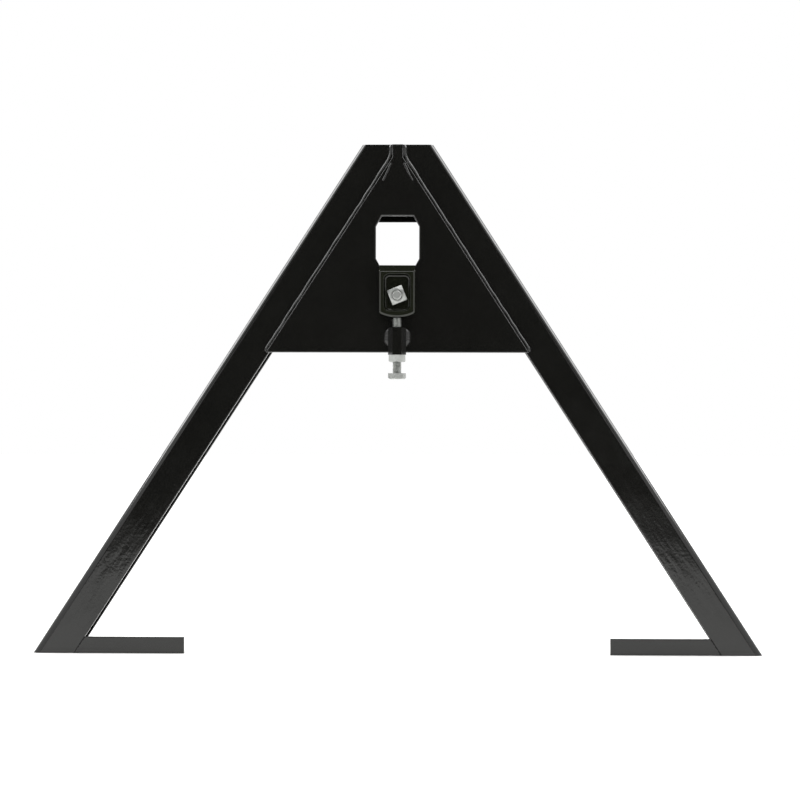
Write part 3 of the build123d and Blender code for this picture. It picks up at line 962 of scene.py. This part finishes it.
def keeper_mesh(keeper):
    """The keeper: a cast block with a ramp at the top, a bowed bottom and a recess."""
    half = (keeper_high.x - keeper_low.x) / 2
    top, low, spare = keeper_high.z, keeper_low.z + keeper.bow, 10 * MM
    bow_radius = (half ** 2 + keeper.bow ** 2) / (2 * keeper.bow)
    reach = atan2(half, bow_radius - keeper.bow)
    around = [reach * (k / 8 - 1) for k in range(1, 16)]
    bow = [(bow_radius * sin(a), keeper_low.z + bow_radius * (1 - cos(a))) for a in around]
    sides = [(half, low), (half, top + spare), (-half, top + spare), (-half, low)]
    bm = bmesh.new()
    flat_cap(bm, sides + bow, keeper_high.y, -1)
    corners = [v for v in bm.verts if abs(v.co.z - low) < TOUCH and abs(v.co.x) > half - TOUCH]
    round_off(bm, corners, keeper.corner_radius * tan((pi / 2 - reach) / 2), 5, affect="VERTICES")
    cap = push(bm, bm.faces[:], (0, keeper_low.y + keeper.side_radius - keeper_high.y, 0))
    quarter_circle(bm, cap, keeper.side_radius, 7)
    face_outwards(bm)
    cut_off(bm, (0, 0, top), (0, 0, 1))
    slope = Vector((0, -1, 1)).normalized()
    cut_off(bm, (0, keeper_low.y, top - keeper.ramp), slope)
    face_outwards(bm)
    ramp = [f for f in bm.faces if f.normal.dot(slope) > FACING]
    round_off(bm, [e for f in ramp for e in f.edges], keeper.ramp_radius, 3)
    drill = bmesh.new()
    bmesh.ops.create_cone(drill, cap_ends=True, segments=48, radius1=keeper.bolt_hole,
                          radius2=keeper.bolt_hole, depth=100 * MM)
    stand(drill, 0, keeper_high.y, clamp_height, 0, pi / 2)
    return carve(carve(bm, recess_tool(keeper), "DIFFERENCE"), drill, "DIFFERENCE")


class HITCH_OT_add_keeper(bpy.types.Operator):
    """Adds the keeper block"""
    bl_idname = "hitch.add_keeper"
    bl_label = "Keeper"

    def execute(self, context):
        finish = context.scene.hitch_finish
        # The keeper gets one lighter, olive colour all over, partly painted light standing in for its
        # reflections.
        colours = (finish.keeper, finish.keeper)
        paint = sprayed_enamel("keeper_enamel_and_painted_sheen", finish, colours=colours)
        cast = keeper_mesh(context.scene.hitch_keeper)
        add_piece("keeper_block_painted", cast, "keeper", paint, ["keeper_block"])
        return {"FINISHED"}


# Stage

WHITE = (1, 1, 1, 1)
FELT_BLACK = (0.01, 0.01, 0.009, 1)
# Light from the white surround
AMBIENT = 0.45
# The floor's glow grows between these distances, from the least to the most
GLOW_NEAR, GLOW_FAR = 0.9, 3.0
GLOW_LEAST, GLOW_MOST = 0.25, 1.0
# The felt overhead, and the screens' reach to either side of the camera
ROOF_RADIUS = 1.1
ROOF_HEIGHT = 2.6
LOW_SCREEN_SPREAD = radians(26)
HIGH_SCREEN_SPREAD = radians(52)
# Height on the frame that the lamps face, as a share of it
LAMP_AIM = 0.6
# Place, width, height and radiance of each lamp, and whether gloss shows it
LAMPS = {
    "left_lamp": ((-1.45, 0.4, 1.4), 1.1, 1.0, 6.0, True),
    "right_lamp": ((1.45, 0.4, 1.4), 1.1, 1.0, 6.0, True),
    "front_fill": ((0.3, -2.9, 1.3), 1.6, 1.2, 5.0, False),
    "rear_top_lamp": ((0, 2.2, 2.3), 2.4, 0.9, 4.0, True),
    "front_top_lamp": ((0, -1.7, 2.3), 2.4, 0.7, 4.0, True),
}


def combine(tree, operation, first, second):
    """One value worked out from two."""
    return add_node(tree, "ShaderNodeMath", {0: first, 1: second}, operation=operation).outputs[0]


def seen_as_white(tree, strength_else):
    """Strength 1 for what the camera, a reflection or glass sees, and another strength for the rest."""
    path = add_node(tree, "ShaderNodeLightPath")
    seen = combine(tree, "MAXIMUM", path.outputs["Is Camera Ray"], path.outputs["Is Glossy Ray"])
    seen = combine(tree, "MAXIMUM", seen, path.outputs["Is Transmission Ray"])
    return map_range(tree, seen, 0.0, 1.0, strength_else, 1.0)


def white_world():
    """A white surround that gives little light of its own."""
    world = bpy.data.worlds.new("white_surround")
    world.use_nodes = True
    tree = world.node_tree
    background = tree.nodes["Background"]
    background.inputs["Color"].default_value = WHITE
    tree.links.new(seen_as_white(tree, AMBIENT), background.inputs["Strength"])
    bpy.context.scene.world = world


def stage_object(name, bm, material):
    made = mesh_object(name, bm, material)
    return made


def pale_floor(stage):
    """Painted plywood, rolled matt: a pale floor that keeps the object's soft shadow.
    Its glow, seen by the camera and by gloss, fades in with distance up to the white of the surround."""
    looks = {"Base Color": (*stage.floor_colour, 1), "Roughness": 0.9, "Specular IOR Level": 0.0,
             "Emission Color": WHITE}
    material, tree, shader, place = start_material("matt_pale_floor", looks)
    distance = add_node(tree, "ShaderNodeVectorMath", {0: place}, operation="LENGTH").outputs["Value"]
    glow = map_range(tree, distance, GLOW_NEAR, GLOW_FAR, GLOW_LEAST, GLOW_MOST)
    strength = combine(tree, "MULTIPLY", seen_as_white(tree, 0.0), glow)
    tree.links.new(strength, shader.inputs["Emission Strength"])
    bm = bmesh.new()
    bmesh.ops.create_circle(bm, cap_ends=True, segments=96, radius=stage.floor_radius)
    stage_object("floor", bm, material)


def dark_screen(stage):
    """Black felt round the camera, which the camera doesn't see but the gloss does."""
    material = start_material("black_felt", {"Base Color": FELT_BLACK, "Roughness": 1.0})[0]
    far, middle, foot_gap = stage.screen_distance, stage.screen_height / 2, 1 * MM
    felts = {"roof": bmesh.new()}
    bmesh.ops.create_circle(felts["roof"], cap_ends=True, segments=48, radius=ROOF_RADIUS)
    bmesh.ops.translate(felts["roof"], verts=felts["roof"].verts, vec=(0, 0, ROOF_HEIGHT))
    for name, spread, low, high in (("low_screen", LOW_SCREEN_SPREAD, foot_gap, middle),
                                    ("high_screen", HIGH_SCREEN_SPREAD, middle, stage.screen_height)):
        bm = felts[name] = bmesh.new()
        foot, head = (bm.verts.new((-sin(spread) * far, -cos(spread) * far, z)) for z in (low, high))
        edge = bm.edges.new((foot, head))
        spin(bm, [foot, head, edge], 40, 2 * spread)
    for name, bm in felts.items():
        felt = stage_object(name, bm, material)
        felt.visible_camera = False
        felt.visible_shadow = False


def soft_box(name, aim, place, width, tall, radiance, in_gloss):
    """A rectangular lamp of the given brightness, turned to face a point."""
    lamp = bpy.data.lights.new(name, "AREA")
    lamp.shape = "RECTANGLE"
    lamp.size, lamp.size_y = width, tall
    lamp.energy = radiance * pi * width * tall
    made = add_object(name, lamp)
    made.location = place
    made.rotation_euler = (Vector(aim) - Vector(place)).to_track_quat("-Z", "Y").to_euler()
    made.visible_camera = False
    made.visible_glossy = in_gloss


def add_camera(stage):
    """The camera that the photograph's viewing angle asks for."""
    camera = bpy.data.cameras.new("camera")
    camera.lens, camera.sensor_width = stage.lens, 36.0
    eye = add_object("camera", camera)
    eye.location = (stage.camera_x, -stage.camera_distance, stage.camera_height)
    turn = atan2(stage.camera_x - stage.aim_x, stage.camera_distance)
    eye.rotation_euler = (pi / 2, stage.roll, turn)
    bpy.context.scene.camera = eye


class HITCH_OT_add_stage(bpy.types.Operator):
    """Adds the floor, the surround, the lamps and the camera"""
    bl_idname = "hitch.add_stage"
    bl_label = "Stage"

    def execute(self, context):
        stage = context.scene.hitch_stage
        white_world()
        pale_floor(stage)
        dark_screen(stage)
        for name, lamp in LAMPS.items():
            soft_box(name, (0, 0, height * LAMP_AIM), *lamp)
        add_camera(stage)
        context.scene.view_settings.view_transform = "Standard"
        return {"FINISHED"}


class HITCH_PT_pieces(bpy.types.Panel):
    """Lists the hitch's pieces and their sizes"""
    bl_idname = "HITCH_PT_pieces"
    bl_label = "A-frame hitch"
    bl_space_type = "VIEW_3D"
    bl_region_type = "UI"
    bl_category = "Hitch"

    def draw(self, context):
        for operator in OPERATORS:
            self.layout.operator(operator.bl_idname)
        for name in GROUPS:
            group = getattr(context.scene, name)
            box = self.layout.box()
            box.label(text=group.__doc__)
            for prop in group.bl_rna.properties:
                if prop.identifier not in ("rna_type", "name"):
                    box.prop(group, prop.identifier)


GROUPS = {"hitch_steel": HitchSteel, "hitch_keeper": HitchKeeper, "hitch_fasteners": HitchFasteners,
          "hitch_welds": HitchWelds, "hitch_finish": HitchFinish, "hitch_stage": HitchStage}
OPERATORS = (HITCH_OT_add_stage, HITCH_OT_add_legs, HITCH_OT_add_plates, HITCH_OT_add_welds,
             HITCH_OT_add_keeper, HITCH_OT_add_adjuster, HITCH_OT_add_clamp)


def register():
    for group in (*GROUPS.values(), *OPERATORS, HITCH_PT_pieces):
        bpy.utils.register_class(group)
    for name, group in GROUPS.items():
        setattr(bpy.types.Scene, name, bpy.props.PointerProperty(type=group))


def unregister():
    for name in GROUPS:
        delattr(bpy.types.Scene, name)
    for group in reversed((*GROUPS.values(), *OPERATORS, HITCH_PT_pieces)):
        bpy.utils.unregister_class(group)


def main():
    register()
    for operator in OPERATORS:
        group, name = operator.bl_idname.split(".")
        getattr(getattr(bpy.ops, group), name)()


if __name__ == "__main__":
    main()
